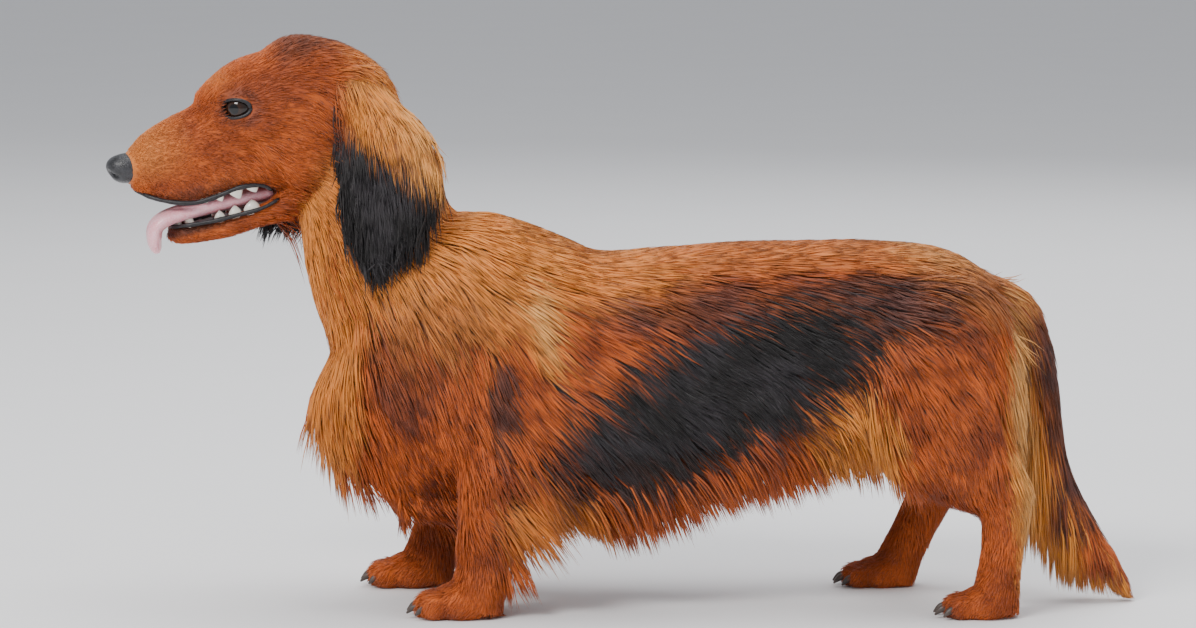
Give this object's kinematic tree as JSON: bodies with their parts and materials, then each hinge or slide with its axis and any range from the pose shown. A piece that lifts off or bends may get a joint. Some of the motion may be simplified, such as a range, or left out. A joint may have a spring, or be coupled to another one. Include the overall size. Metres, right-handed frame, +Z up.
{
  "type": "long-haired dachshund",
  "caption": "Life-size standing long-haired dachshund with a low feathered body, hanging ears, a plumed tail and its mouth open with the tongue out.",
  "frame": {"origin": "on the floor under the middle of the dog's box, midway between nose and tail tips and between its sides", "axes": "-X ahead, from tail to nose; +Y to the dog's right; +Z up from the floor"},
  "size_m": [0.646, 0.185, 0.3639],
  "materials": {
    "red_coat": "long soft hair, red-brown, lying along the body",
    "gold_coat": "long soft hair, golden, in fringes",
    "dark_coat": "long soft hair, blue-black overlay",
    "nose_leather": "moist pebbled black skin",
    "tongue_skin": "moist pink skin",
    "eye_glass": "wet, dark brown iris",
    "tooth_enamel": "smooth enamel",
    "claw_horn": "dark horn"
  },
  "bodies": {
    "root": {"ear_left": "dark_coat", "ear_right": "dark_coat", "eye_left": "eye_glass", "eye_right": "eye_glass", "foreleg_left": "red_coat", "foreleg_right": "red_coat", "forepaw_left": "red_coat", "forepaw_right": "red_coat", "head": "red_coat", "hindleg_left": "red_coat", "hindleg_right": "red_coat", "hindpaw_left": "red_coat", "hindpaw_right": "red_coat", "jaw": "red_coat", "neck": "gold_coat", "nose": "nose_leather", "tail": "gold_coat", "tongue": "tongue_skin", "torso": "red_coat"}
  },
  "joints": []
}
